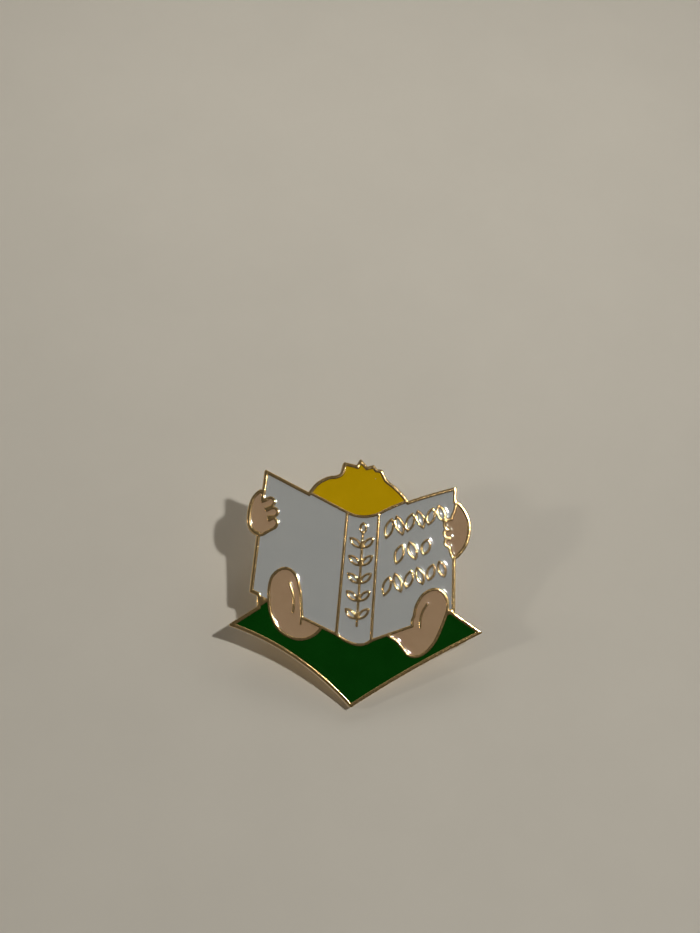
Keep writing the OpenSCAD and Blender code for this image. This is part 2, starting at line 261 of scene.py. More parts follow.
@dataclass(frozen=True)
class Finish:
    """What every finish shares: a material with object coordinates and one Principled shader."""

    name: str
    colour: Colour
    worn_colour: Colour
    roughness: tuple[float, float]
    metallic: float = 0.0
    cloud_mm: float = 2.0
    ripple_mm: float = 0.2
    bump_mm: float = 0.004
    edge_tint: Colour = (1.0, 1.0, 1.0)

    def group(self, tree: bpy.types.NodeTree, name: str, **values: float) -> bpy.types.Node:
        """Place a shared group, fed with the object's own coordinates.

        Args:
            tree: The material's node tree.
            name: The group's name.
            values: Its settings, with _ for each space of a name.

        Returns:
            The group node.
        """
        place = tree.nodes.get("place") or tree.nodes.new("ShaderNodeTexCoord")
        place.name = "place"
        node = add_node(tree, "ShaderNodeGroup", {}, node_tree=GROUPS[name])
        tree.links.new(place.outputs["Object"], node.inputs["Position"])
        for title, value in values.items():
            node.inputs[title.replace("_", " ")].default_value = value
        return node

    def patina(self, tree: bpy.types.NodeTree) -> bpy.types.Node:
        """The patina group at this finish's scale."""
        return self.group(tree, "patina", Cloud_Size_mm=self.cloud_mm,
                          Ripple_Size_mm=self.ripple_mm)

    def blend(self, tree: bpy.types.NodeTree, mask: bpy.types.NodeSocket, below: object,
              above: object) -> bpy.types.NodeSocket:
        """Lay one colour over another.

        Args:
            tree: The material's node tree.
            mask: 1 where the upper colour shows.
            below: The lower colour, or its socket.
            above: The upper colour, or its socket.

        Returns:
            The mixed colour.
        """
        node = add_node(tree, "ShaderNodeMix", {0: mask}, data_type="RGBA")
        for key, value in ((6, below), (7, above)):
            if isinstance(value, bpy.types.NodeSocket):
                tree.links.new(value, node.inputs[key])
            else:
                node.inputs[key].default_value = (*value, 1.0)
        return node.outputs[2]

    def bump(self, tree: bpy.types.NodeTree, height: bpy.types.NodeSocket, depth_mm: float,
             below: bpy.types.NodeSocket | None = None) -> bpy.types.NodeSocket:
        """Turn a height into a normal.

        Args:
            tree: The material's node tree.
            height: The height, from 0 to 1.
            depth_mm: How deep the relief is.
            below: The normal of a coarser relief under it.

        Returns:
            The normal.
        """
        links = {"Height": height, "Distance": depth_mm * MM, "Strength": 1.0}
        if below is not None:
            links["Normal"] = below
        return add_node(tree, "ShaderNodeBump", links).outputs["Normal"]

    def detail(self, tree: bpy.types.NodeTree, shader: bpy.types.Node) -> None:
        """Add clouds in the colour and the roughness, and ripples in the surface.

        Args:
            tree: The material's node tree.
            shader: Its Principled shader.
        """
        patina = self.patina(tree)
        mask = patina.outputs["Mask"]
        tree.links.new(self.blend(tree, mask, self.colour, self.worn_colour),
                       shader.inputs["Base Color"])
        tree.links.new(ramp_between(tree, mask, 0.0, 1.0, *self.roughness),
                       shader.inputs["Roughness"])
        tree.links.new(self.bump(tree, patina.outputs["Height"], self.bump_mm),
                       shader.inputs["Normal"])

    def material(self) -> bpy.types.Material:
        """Make the finish's material on first use.

        Returns:
            The material, whose name no CAD material has.
        """
        found = bpy.data.materials.get(self.name)
        if found is not None:
            return found
        made = bpy.data.materials.new(self.name)
        made.use_nodes = True
        shader = made.node_tree.nodes["Principled BSDF"]
        shader.inputs["Metallic"].default_value = self.metallic
        shader.inputs["Specular Tint"].default_value = (*self.edge_tint, 1.0)
        self.detail(made.node_tree, shader)
        return made


@dataclass(frozen=True)
class Plating(Finish):
    """Gold-toned plating: brushed by handling, with tarnish clouds and a few dark pits."""

    hairline_mm: float = 1.0
    hairline_rough: float = 0.16
    hairline_dip: float = 0.3
    pit_mm: float = 0.9
    pit_size: float = 0.07
    pit_shade: float = 0.35

    def detail(self, tree: bpy.types.NodeTree, shader: bpy.types.Node) -> None:
        """Add tarnish clouds, hairlines and pits.

        Args:
            tree: The material's node tree.
            shader: Its Principled shader.
        """
        patina = self.patina(tree)
        lines = self.group(tree, "hairlines", Gap_mm=self.hairline_mm)
        pits = self.group(tree, "specks", Spacing_mm=self.pit_mm, Speck_Size=self.pit_size)
        tarnish = self.blend(tree, patina.outputs["Mask"], self.colour, self.worn_colour)
        dark = tuple(self.pit_shade * c for c in self.worn_colour)
        tree.links.new(self.blend(tree, pits.outputs["Mask"], tarnish, dark),
                       shader.inputs["Base Color"])
        rough = ramp_between(tree, patina.outputs["Mask"], 0.0, 1.0, *self.roughness)
        scuffed = math_node(tree, "MULTIPLY_ADD", lines.outputs["Mask"], self.hairline_rough,
                            rough)
        tree.links.new(scuffed, shader.inputs["Roughness"])
        low = math_node(tree, "MULTIPLY_ADD", lines.outputs["Mask"], -self.hairline_dip,
                        patina.outputs["Height"])
        tree.links.new(self.bump(tree, low, self.bump_mm), shader.inputs["Normal"])


@dataclass(frozen=True)
class BlastedPlating(Finish):
    """The plated back of the plate, stippled by its blasted die and rubbed on its high spots."""

    grain_mm: float = 0.1
    grain_depth: float = 0.2
    hollow_shade: float = 0.55
    hollow_share: float = 0.7
    hairline_mm: float = 2.2
    hairline_polish: float = 0.12

    def detail(self, tree: bpy.types.NodeTree, shader: bpy.types.Node) -> None:
        """Add stipple whose hollows are darkened in colour as painted shade, under broad clouds of
        wear.

        Args:
            tree: The material's node tree.
            shader: Its Principled shader.
        """
        grain = self.group(tree, "stipple", Grain_mm=self.grain_mm)
        patina = self.patina(tree)
        lines = self.group(tree, "hairlines", Gap_mm=self.hairline_mm, Sharpness=0.7)
        plain = self.blend(tree, patina.outputs["Mask"], self.colour, self.worn_colour)
        # Painted shade: the stipple's hollows are darkened in colour, as if shade fell in them; the
        # solder beads get the same.
        dark = tuple(self.hollow_shade * c for c in self.worn_colour)
        shade = math_node(tree, "MULTIPLY", grain.outputs["Hollows"], self.hollow_share)
        tree.links.new(self.blend(tree, shade, plain, dark), shader.inputs["Base Color"])
        rough = ramp_between(tree, patina.outputs["Mask"], 0.0, 1.0, *self.roughness)
        rubbed = math_node(tree, "MULTIPLY_ADD", lines.outputs["Mask"], -self.hairline_polish,
                           rough)
        tree.links.new(rubbed, shader.inputs["Roughness"])
        coarse = self.bump(tree, patina.outputs["Height"], self.bump_mm)
        fine = self.bump(tree, grain.outputs["Height"], self.grain_mm * self.grain_depth, coarse)
        tree.links.new(fine, shader.inputs["Normal"])


@dataclass(frozen=True)
class Enamel(Finish):
    """Baked soft enamel: glossy paint with clouded pigment, orange peel, dust and hairlines."""

    dust: Colour = (0.62, 0.60, 0.56)
    dust_mm: float = 2.6
    dust_size: float = 0.022
    dust_rough: float = 0.5
    hairline_mm: float = 1.6
    hairline_rough: float = 0.12

    def detail(self, tree: bpy.types.NodeTree, shader: bpy.types.Node) -> None:
        """Add pigment clouds, a few dust specks, and gloss broken by hairlines.

        Args:
            tree: The material's node tree.
            shader: Its Principled shader.
        """
        patina = self.patina(tree)
        specks = self.group(tree, "specks", Spacing_mm=self.dust_mm, Speck_Size=self.dust_size)
        lines = self.group(tree, "hairlines", Gap_mm=self.hairline_mm, Sharpness=0.74)
        paint = self.blend(tree, patina.outputs["Mask"], self.colour, self.worn_colour)
        tree.links.new(self.blend(tree, specks.outputs["Mask"], paint, self.dust),
                       shader.inputs["Base Color"])
        rough = ramp_between(tree, patina.outputs["Mask"], 0.0, 1.0, *self.roughness)
        scuffed = math_node(tree, "MULTIPLY_ADD", lines.outputs["Mask"], self.hairline_rough,
                            rough)
        dusty = math_node(tree, "MULTIPLY_ADD", specks.outputs["Mask"], self.dust_rough, scuffed)
        tree.links.new(dusty, shader.inputs["Roughness"])
        tree.links.new(self.bump(tree, patina.outputs["Height"], self.bump_mm),
                       shader.inputs["Normal"])
        shader.inputs["Specular IOR Level"].default_value = 0.4
        shader.inputs["Coat Weight"].default_value = 0.15
        shader.inputs["Coat Roughness"].default_value = 0.03


GOLD = Plating("gold_plating", (0.58, 0.40, 0.18), (0.42, 0.275, 0.11), (0.07, 0.16), 0.8,
               cloud_mm=0.7, ripple_mm=0.35, bump_mm=0.015, edge_tint=(0.8, 0.6, 0.3))
GOLD_FLANK = Plating("gold_flank", (0.70, 0.48, 0.20), (0.50, 0.32, 0.12), (0.20, 0.32), 0.88,
                     cloud_mm=1.2, ripple_mm=0.22, bump_mm=0.01, edge_tint=(0.85, 0.55, 0.22))
GOLD_BACK = BlastedPlating("gold_back", (0.70, 0.50, 0.24), (0.61, 0.42, 0.19), (0.30, 0.42),
                           1.0, cloud_mm=2.6, ripple_mm=0.9, bump_mm=0.01, grain_mm=0.2)
POST_BRASS = Plating("post_finish", (0.74, 0.56, 0.30), (0.58, 0.42, 0.20), (0.20, 0.32), 1.0,
                     cloud_mm=0.8, ripple_mm=0.25, bump_mm=0.006, hairline_mm=0.5)
CLUTCH_BRASS = Plating("clutch_finish", (0.80, 0.60, 0.30), (0.62, 0.43, 0.19), (0.18, 0.32),
                       1.0, cloud_mm=1.6, ripple_mm=0.5, bump_mm=0.012, hairline_mm=0.8)
SPRING_BRASS = Plating("spring_finish", (0.78, 0.62, 0.36), (0.60, 0.45, 0.24), (0.22, 0.36),
                       1.0, cloud_mm=1.1, ripple_mm=0.4, bump_mm=0.01, hairline_mm=0.6)
SOLDER = BlastedPlating("solder_finish", (0.62, 0.60, 0.56), (0.44, 0.42, 0.39), (0.30, 0.46),
                        1.0, cloud_mm=0.7, ripple_mm=0.4, bump_mm=0.03, grain_mm=0.14)
PAINTS = {
    Pigment.YELLOW: Enamel("yellow_paint", (0.56, 0.35, 0.0), (0.61, 0.38, 0.001),
                           (0.035, 0.06), cloud_mm=3.0, ripple_mm=1.0, bump_mm=0.002),
    Pigment.WHITE: Enamel("white_paint", (0.42, 0.433, 0.427), (0.44, 0.45, 0.438),
                          (0.035, 0.06), cloud_mm=3.5, ripple_mm=1.0, bump_mm=0.002),
    Pigment.SKIN: Enamel("skin_paint", (0.41, 0.272, 0.160), (0.44, 0.295, 0.178),
                         (0.035, 0.06), cloud_mm=2.0, ripple_mm=1.0, bump_mm=0.002),
    Pigment.GREEN: Enamel("green_paint", (0.0006, 0.043, 0.0008), (0.0015, 0.051, 0.0018),
                          (0.035, 0.055), cloud_mm=3.0, ripple_mm=1.0, bump_mm=0.002,
                          dust=(0.10, 0.17, 0.10)),
}


# ---------- mesh making ----------


def unit_rows(rows: np.ndarray) -> np.ndarray:
    """Each row scaled to length 1."""
    return rows / np.maximum(np.linalg.norm(rows, axis=1, keepdims=True), 1e-12)


def border_loops(node: str, level: float) -> list[Loop]:
    """The borders of a CAD node's flat face, with the face on the left of each.

    Args:
        node: The CAD node.
        level: The face's height along Y, in metres.

    Returns:
        Loops of X, Z points in millimetres, the outermost first.
    """
    mesh = bmesh.new()
    mesh.from_mesh(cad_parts[node].data)
    bmesh.ops.remove_doubles(mesh, verts=mesh.verts, dist=MERGE)
    flat = [f for f in mesh.faces if max(abs(v.co.y - level) for v in f.verts) < 5 * MERGE]
    within = set(flat)
    after = {}
    for face in flat:  # the list, not the set, so that each run starts the loops alike
        for corner in face.loops:
            if sum(other in within for other in corner.edge.link_faces) == 1:
                after[corner.vert] = corner.link_loop_next.vert
    loops = []
    while after:
        start, here = next(iter(after.items()))
        del after[start]
        points = [start]
        while here is not start and here in after:
            points.append(here)
            here = after.pop(here)
        loops.append(np.array([(v.co.x, v.co.z) for v in points]) / MM)
    mesh.free()
    return sorted(loops, key=lambda loop: -np.ptp(loop, axis=0).max())


def evenly(loop: Loop, step: float) -> Loop:
    """Walk a loop in even steps that keep its corners.

    Args:
        loop: The loop's points.
        step: Longest distance from one point to the next.

    Returns:
        The new points.
    """
    kept = [loop[0]]
    for point in loop[1:]:
        if np.linalg.norm(point - kept[-1]) > 0.3 * step:
            kept.append(point)
    walked = []
    for a, b in zip(kept, kept[1:] + kept[:1]):
        count = max(1, round(float(np.linalg.norm(b - a)) / step))
        walked += [a + (b - a) * i / count for i in range(count)]
    return np.array(walked)


class Nearness:
    """Distance from any point to the nearest of several loops."""

    def __init__(self, loops: Sequence[Loop]) -> None:
        """Index the loops' points with their neighbours.

        Args:
            loops: The loops.
        """
        self.points = np.vstack(loops)
        self.before = np.vstack([np.roll(loop, 1, 0) for loop in loops])
        self.after = np.vstack([np.roll(loop, -1, 0) for loop in loops])
        self.tree = KDTree(len(self.points))
        for i, (x, z) in enumerate(self.points):
            self.tree.insert((x, z, 0.0), i)
        self.tree.balance()

    def distance(self, points: np.ndarray) -> np.ndarray:
        """Measure points.

        Args:
            points: X, Z points.

        Returns:
            The distance of each to the nearest loop.
        """
        if not len(points):
            return np.zeros(0)
        found = np.array([self.tree.find((x, z, 0.0))[1] for x, z in points])
        best = np.full(len(points), np.inf)
        a = self.points[found]
        for b in (self.before[found], self.after[found]):
            along = b - a
            t = ((points - a) * along).sum(1) / np.maximum((along ** 2).sum(1), 1e-12)
            foot = a + along * np.clip(t, 0.0, 1.0)[:, None]
            best = np.minimum(best, np.linalg.norm(points - foot, axis=1))
        return best


@dataclass
class Sheet:
    """A triangulated area between loops, with each point's distance to the nearest loop."""

    points: np.ndarray
    triangles: list[tuple[int, int, int]]
    borders: Rings
    depth: np.ndarray


def inner_points(loops: Sequence[Loop], near: Nearness, rings: Sequence[float],
                 grid: float | None) -> np.ndarray:
    """Points inside an area: rings along its borders and a grid in its middle.

    Args:
        loops: The borders, with the area on their left.
        near: Distances to them.
        rings: How far in each ring of points lies.
        grid: Spacing of the grid in the middle, or None for no grid.

    Returns:
        The points, none of them crowded.
    """
    chosen = []
    for inset in rings:
        for loop in loops:
            ahead = unit_rows(np.roll(loop, -1, 0) - np.roll(loop, 1, 0))
            moved = loop + inset * np.column_stack([-ahead[:, 1], ahead[:, 0]])
            chosen.append(moved[near.distance(moved) > 0.93 * inset])
    if grid:
        low, high = loops[0].min(0), loops[0].max(0)
        lines = [np.arange(low[k] + grid / 3, high[k], grid) for k in (0, 1)]
        mesh = np.stack(np.meshgrid(*lines), -1).reshape(-1, 2)
        chosen.append(mesh[near.distance(mesh) > rings[-1] + 0.5 * grid])
    if not chosen:
        return np.zeros((0, 2))
    every = np.vstack(chosen)
    crowd = np.round(every / (0.55 * (rings[0] if rings else 1.0)))
    _, first = np.unique(crowd, axis=0, return_index=True)
    return every[np.sort(first)]


def fill(loops: Sequence[Loop], rings: Sequence[float] = (), grid: float | None = None) -> Sheet:
    """Triangulate the area that loops enclose, islands and pools included.

    Args:
        loops: The borders, with the area on their left.
        rings: How far in each ring of inner points lies.
        grid: Spacing of the inner grid, or None.

    Returns:
        The area as a sheet.
    """
    near = Nearness(loops)
    border = np.vstack(loops)
    starts = np.cumsum([0] + [len(loop) for loop in loops])
    edges = [(s + i, s + (i + 1) % len(loop))
             for s, loop in zip(starts, loops) for i in range(len(loop))]
    every = np.vstack([border, inner_points(loops, near, rings, grid)])
    made, lines, faces, origins, of_line, _ = delaunay_2d_cdt(
        [Vector(p) for p in every], edges, [], 0, 1e-6)
    fences = {frozenset(line) for line, source in zip(lines, of_line) if source}
    beside: dict[frozenset, list[int]] = {}
    for k, face in enumerate(faces):
        for i in range(3):
            beside.setdefault(frozenset((face[i - 1], face[i])), []).append(k)
    inside: dict[int, bool] = {}
    queue = []
    for edge, both in beside.items():
        if len(both) == 1 and both[0] not in inside:
            inside[both[0]] = edge in fences
            queue.append(both[0])
    while queue:
        k = queue.pop()
        for i in range(3):
            edge = frozenset((faces[k][i - 1], faces[k][i]))
            for other in beside[edge]:
                if other not in inside:
                    inside[other] = inside[k] != (edge in fences)
                    queue.append(other)
    points = np.array([tuple(p) for p in made])
    kept = [tuple(faces[k]) for k in range(len(faces)) if inside.get(k)]
    used = sorted({v for face in kept for v in face})
    place = {v: i for i, v in enumerate(used)}
    came = {i: place.get(k) for k, group in enumerate(origins) for i in group}
    triangles = []
    for a, b, c in kept:
        ab, ac = points[b] - points[a], points[c] - points[a]
        order = (a, b, c) if ab[0] * ac[1] > ab[1] * ac[0] else (a, c, b)
        triangles.append(tuple(place[v] for v in order))
    points = points[used]
    borders = [[came[s + i] for i in range(len(loop))] for s, loop in zip(starts, loops)]
    return Sheet(points, triangles, borders, near.distance(points))


class Shell:
    """The points and faces of one piece while it is put together, in millimetres."""

    def __init__(self) -> None:
        """Start empty."""
        self.points: list[tuple[float, float, float]] = []
        self.faces: list[tuple[int, ...]] = []
        self.tints: list[int] = []

    def sheet(self, sheet: Sheet, heights: np.ndarray, tint: int = 0) -> Rings:
        """Add a sheet at the given heights along Y.

        Args:
            sheet: The sheet.
            heights: The height of each of its points.
            tint: Number of its material on the piece.

        Returns:
            Its borders as point numbers of this shell.
        """
        start = len(self.points)
        self.points += [(x, y, z) for (x, z), y in zip(sheet.points, heights)]
        self.faces += [tuple(start + v for v in face) for face in sheet.triangles]
        self.tints += [tint] * len(sheet.triangles)
        return [[start + v for v in ring] for ring in sheet.borders]

    def ring(self, loop: Loop, height: float) -> list[int]:
        """Add a ring of points at one height.

        Args:
            loop: The ring's X, Z points.
            height: Its height along Y.

        Returns:
            The numbers of its points.
        """
        start = len(self.points)
        self.points += [(x, height, z) for x, z in loop]
        return list(range(start, start + len(loop)))

    def wall(self, first: Sequence[int], second: Sequence[int], tint: int = 0) -> None:
        """Join two rings of equal length with quads.

        Args:
            first: The point numbers of one ring.
            second: Those of the other.
            tint: Number of the wall's material on the piece.
        """
        for i in range(len(first)):
            j = (i + 1) % len(first)
            quad = (first[i], first[j], second[j], second[i])
            if len(set(quad)) == 4:
                self.faces.append(quad)
                self.tints.append(tint)

    def piece(self, name: str, finishes: Sequence[Finish], sharp: float = 50.0) -> bpy.types.Object:
        """Make the object, closed, with its faces outward.

        Args:
            name: The piece's name.
            finishes: Its finishes, in the order of their numbers.
            sharp: Angle in degrees over which an edge shows sharp.

        Returns:
            The object, at the origin.
        """
        mesh = bpy.data.meshes.new(name)
        mesh.from_pydata((np.array(self.points) * MM).tolist(), [], self.faces)
        mesh.polygons.foreach_set("material_index", self.tints)
        work = bmesh.new()
        work.from_mesh(mesh)
        bmesh.ops.remove_doubles(work, verts=work.verts, dist=MERGE / 2)
        bmesh.ops.recalc_face_normals(work, faces=work.faces)
        work.to_mesh(mesh)
        work.free()
        return finished(name, mesh, finishes, sharp)


def finished(name: str, mesh: bpy.types.Mesh, finishes: Sequence[Finish],
             sharp: float = 50.0) -> bpy.types.Object:
    """Put a mesh in the scene, smooth-shaded and with its finishes.

    Args:
        name: The piece's name.
        mesh: Its mesh.
        finishes: Its finishes, in the order of their numbers.
        sharp: Angle in degrees over which an edge shows sharp.

    Returns:
        The object, at the origin.
    """
    mesh.materials.clear()
    for finish in finishes:
        mesh.materials.append(finish.material())
    mesh.polygons.foreach_set("use_smooth", [True] * len(mesh.polygons))
    mesh.set_sharp_from_angle(angle=math.radians(sharp))
    made = bpy.data.objects.new(name, mesh)
    bpy.context.scene.collection.objects.link(made)
    return made


def baked(source: bpy.types.Object, name: str, finishes: Sequence[Finish],
          sharp: float = 50.0) -> bpy.types.Object:
    """Apply an object's modifiers on a plain copy, and remove the object.

    Args:
        source: The object.
        name: The piece's name.
        finishes: Its finishes, in the order of their numbers.
        sharp: Angle in degrees over which an edge shows sharp.

    Returns:
        The plain piece.
    """
    graph = bpy.context.evaluated_depsgraph_get()
    mesh = bpy.data.meshes.new_from_object(source.evaluated_get(graph))
    old = source.data
    bpy.data.objects.remove(source)
    if old.users == 0:
        bpy.data.meshes.remove(old)
    mesh.name = name
    return finished(name, mesh, finishes, sharp)


def eased(profile: Sequence[tuple[float, float]], radius: float, closed: bool = True,
          steps: int = 4) -> list[tuple[float, float]]:
    """Round a profile's corners.

    Args:
        profile: Its corners.
        radius: How far from a corner its rounding starts, at most.
        closed: Whether the last corner leads back to the first.
        steps: Parts of each rounding.

    Returns:
        The rounded profile.
    """
    corners = [Vector(p) for p in profile]
    rounded = []
    for i, corner in enumerate(corners):
        if not closed and i in (0, len(corners) - 1):
            rounded.append(tuple(corner))
            continue
        before, after = corners[i - 1] - corner, corners[(i + 1) % len(corners)] - corner
        reach = min(radius, 0.45 * before.length, 0.45 * after.length)
        a, b = corner + before.normalized() * reach, corner + after.normalized() * reach
        for k in range(steps + 1):
            t = k / steps
            rounded.append(tuple((1 - t) ** 2 * a + 2 * t * (1 - t) * corner + t * t * b))
    return rounded


def turned(profile: Sequence[tuple[float, float]], centre: Vector, segments: int = SEGMENTS,
           closed: bool = True) -> Shell:
    """Turn a profile of radius and height around an axis along Y.

    Args:
        profile: Radius and height of each point, in millimetres.
        centre: Where height 0 lies on the axis, in millimetres.
        segments: Parts of the turn.
        closed: Whether the profile's end joins its start; otherwise both lie on the axis.

    Returns:
        The turned shell.
    """
    shell = Shell()
    angles = np.linspace(0.0, 2 * math.pi, segments, endpoint=False)
    circle = np.column_stack([np.cos(angles), np.sin(angles)])
    middle = np.array([centre.x, centre.z])
    rings = [shell.ring(middle + circle * max(r, 1e-5), centre.y + h) for r, h in profile]
    for first, second in zip(rings, rings[1:] + rings[:1] if closed else rings[1:]):
        shell.wall(first, second)
    return shell


# ---------- Geometry Nodes ----------


class NodesTool:
    """A Geometry Nodes tree with named inputs, run once and turned into a plain piece."""

    def __init__(self, name: str, inputs: dict[str, object]) -> None:
        """Start the tree.

        Args:
            name: The tree's name.
            inputs: Input names with their values; whole numbers, numbers, vectors or a material.
        """
        self.tree = bpy.data.node_groups.new(name, "GeometryNodeTree")
        kinds = {int: "NodeSocketInt", float: "NodeSocketFloat", Vector: "NodeSocketVector",
                 bpy.types.Material: "NodeSocketMaterial"}
        sockets = self.tree.interface
        self.keys = {title: sockets.new_socket(title, in_out="INPUT",
                                               socket_type=kinds[type(value)]).identifier
                     for title, value in inputs.items()}
        sockets.new_socket("Geometry", in_out="OUTPUT", socket_type="NodeSocketGeometry")
        self.values = inputs
        self.given = self.tree.nodes.new("NodeGroupInput").outputs
        self.out = self.tree.nodes.new("NodeGroupOutput")

    def node(self, kind: str, links: dict, **settings: object) -> bpy.types.Node:
        """Add a node, with links and settings as in add_node."""
        return add_node(self.tree, kind, links, **settings)

    def run(self, geometry: bpy.types.NodeSocket, name: str, finish: Finish) -> bpy.types.Object:
        """Realize, set the material and convert.

        Args:
            geometry: The tree's last geometry.
            name: The piece's name.
            finish: Its finish.

        Returns:
            The plain piece.
        """
        real = self.node("GeometryNodeRealizeInstances", {"Geometry": geometry})
        dressed = self.node("GeometryNodeSetMaterial", {
            "Geometry": real.outputs[0], "Material": self.given["Finish"]})
        self.tree.links.new(dressed.outputs[0], self.out.inputs[0])
        host = bpy.data.objects.new(name + "_host", bpy.data.meshes.new(name + "_host"))
        bpy.context.scene.collection.objects.link(host)
        nodes = host.modifiers.new("nodes", "NODES")
        nodes.node_group = self.tree
        for title, key in self.keys.items():
            value = self.values[title]
            nodes[key] = tuple(value) if isinstance(value, Vector) else value
        bpy.context.view_layer.update()
        return baked(host, name, [finish])


# ---------- sub-assemblies ----------


@dataclass
class StruckPlate:
    """The plate: raised lines with rounded edges, cells, flank and stippled back."""

    step: float = 0.13
    edge_reach: float = 0.15
    edge_drop: float = 0.07
    rings: tuple[float, ...] = (0.03, 0.07, 0.12)
    back_edge: float = 0.14
    back_rings: tuple[float, ...] = (0.04, 0.09, 0.14)
    back_grid: float = 1.0
    flank_levels: tuple[float, ...] = (0.12, 0.3, 0.5, 0.7, 0.88)
    sharp_angle: float = 48.0
    seat_r: float = 2.4
    seat_depth: float = 0.15
    flank_bulge: float = 0.012
    outline: Loop = field(init=False)
    cells: list[Loop] = field(init=False)

    def __post_init__(self) -> None:
        """Read the plate's levels and borders from its CAD node."""
        low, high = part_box("base_plate")
        self.front, self.back = low.y / MM, high.y / MM
        self.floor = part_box("enamel_mat")[1].y / MM
        loops = [evenly(loop, self.step) for loop in border_loops("base_plate", low.y)]
        self.outline, self.cells = loops[0], loops[1:]

    def rounded(self, depth: np.ndarray, reach: float, drop: float) -> np.ndarray:
        """Round an edge.

        Args:
            depth: Distances from the edge.
            reach: How far from the edge the rounding starts.
            drop: How far it falls at the edge.

        Returns:
            How far the surface falls at each distance.
        """
        t = 1.0 - np.minimum(depth, reach) / reach
        return drop * (1.0 - np.sqrt(np.maximum(1.0 - t * t, 0.0)))

    def seat(self, side: Side) -> Loop:
        """Place the round seat for a post's flange.

        Args:
            side: Which post.

        Returns:
            The seat's loop, with the back face on its left.
        """
        low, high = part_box(f"post_{side.value}")
        angles = np.linspace(0.0, 2 * math.pi, SEGMENTS, endpoint=False)[::-1]
        middle = np.array([(low.x + high.x) / 2, (low.z + high.z) / 2]) / MM
        return middle + self.seat_r * np.column_stack([np.cos(angles), np.sin(angles)])

    def build(self) -> bpy.types.Object:
        """Build the plate as one closed piece.

        Returns:
            The piece.
        """
        shell = Shell()
        top = fill([self.outline, *self.cells], self.rings)
        heights = self.front + self.rounded(top.depth, self.edge_reach, self.edge_drop)
        top_rings = shell.sheet(top, heights, 0)
        floors = fill(self.cells)
        floor_rings = shell.sheet(floors, np.full(len(floors.points), self.floor), 0)
        for wall, floor in zip(top_rings[1:], floor_rings):
            shell.wall(wall, floor, 0)
        seats = [self.seat(side) for side in Side]
        back = fill([self.outline, *seats], self.back_rings, self.back_grid)
        fall = self.rounded(back.depth, self.back_edge, self.edge_drop)
        back_borders = shell.sheet(back, self.back - fall, 2)
        rings = [top_rings[0]]
        out = unit_rows(np.roll(self.outline, -1, 0) - np.roll(self.outline, 1, 0))
        out = np.column_stack([out[:, 1], -out[:, 0]])
        for t in self.flank_levels:
            height = self.front + self.edge_drop + t * (
                self.back - self.front - 2 * self.edge_drop)
            bulge = self.flank_bulge * math.sin(math.pi * t)
            rings.append(shell.ring(self.outline + out * bulge, height))
        rings.append(back_borders[0])
        for first, second in zip(rings, rings[1:]):
            shell.wall(first, second, 1)
        for ring, seat in zip(back_borders[1:], seats):
            bed = fill([seat[::-1]])
            bed_ring = shell.sheet(bed, np.full(len(bed.points), self.back - self.seat_depth), 2)
            shell.wall(ring, bed_ring[0][::-1], 2)
        plate = shell.piece("plate", [GOLD, GOLD_FLANK, GOLD_BACK], self.sharp_angle)
        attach(plate, "root")
        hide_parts("base_plate")
        return plate


@dataclass
class EnamelFill:
    """One colour fill: its skin climbs the metal around it and sinks a little in the middle."""

    node: str
    pigment: Pigment
    step: float = 0.16
    rings: tuple[float, ...] = (0.04, 0.09, 0.16, 0.26, 0.4, 0.6)
    grid: float = 0.6
    middle_drop: float = 0.11
    climb: float = 0.05
    climb_reach: float = 0.2

    def build(self) -> bpy.types.Object:
        """Build the fill as closed pools.

        Returns:
            The piece.
        """
        low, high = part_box(self.node)
        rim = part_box("base_plate")[0].y / MM
        loops = [evenly(loop, self.step) for loop in border_loops(self.node, low.y)]
        shell = Shell()
        skin = fill(loops, self.rings, self.grid)
        heights = rim + self.middle_drop - self.climb * np.exp(-skin.depth / self.climb_reach)
        skin_rings = shell.sheet(skin, heights)
        base = fill(loops)
        base_rings = shell.sheet(base, np.full(len(base.points), high.y / MM))
        for first, second in zip(skin_rings, base_rings):
            shell.wall(first, second)
        made = shell.piece(f"{self.node}_fill", [PAINTS[self.pigment]], 60.0)
        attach(made, "root")
        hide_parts(self.node)
        return made


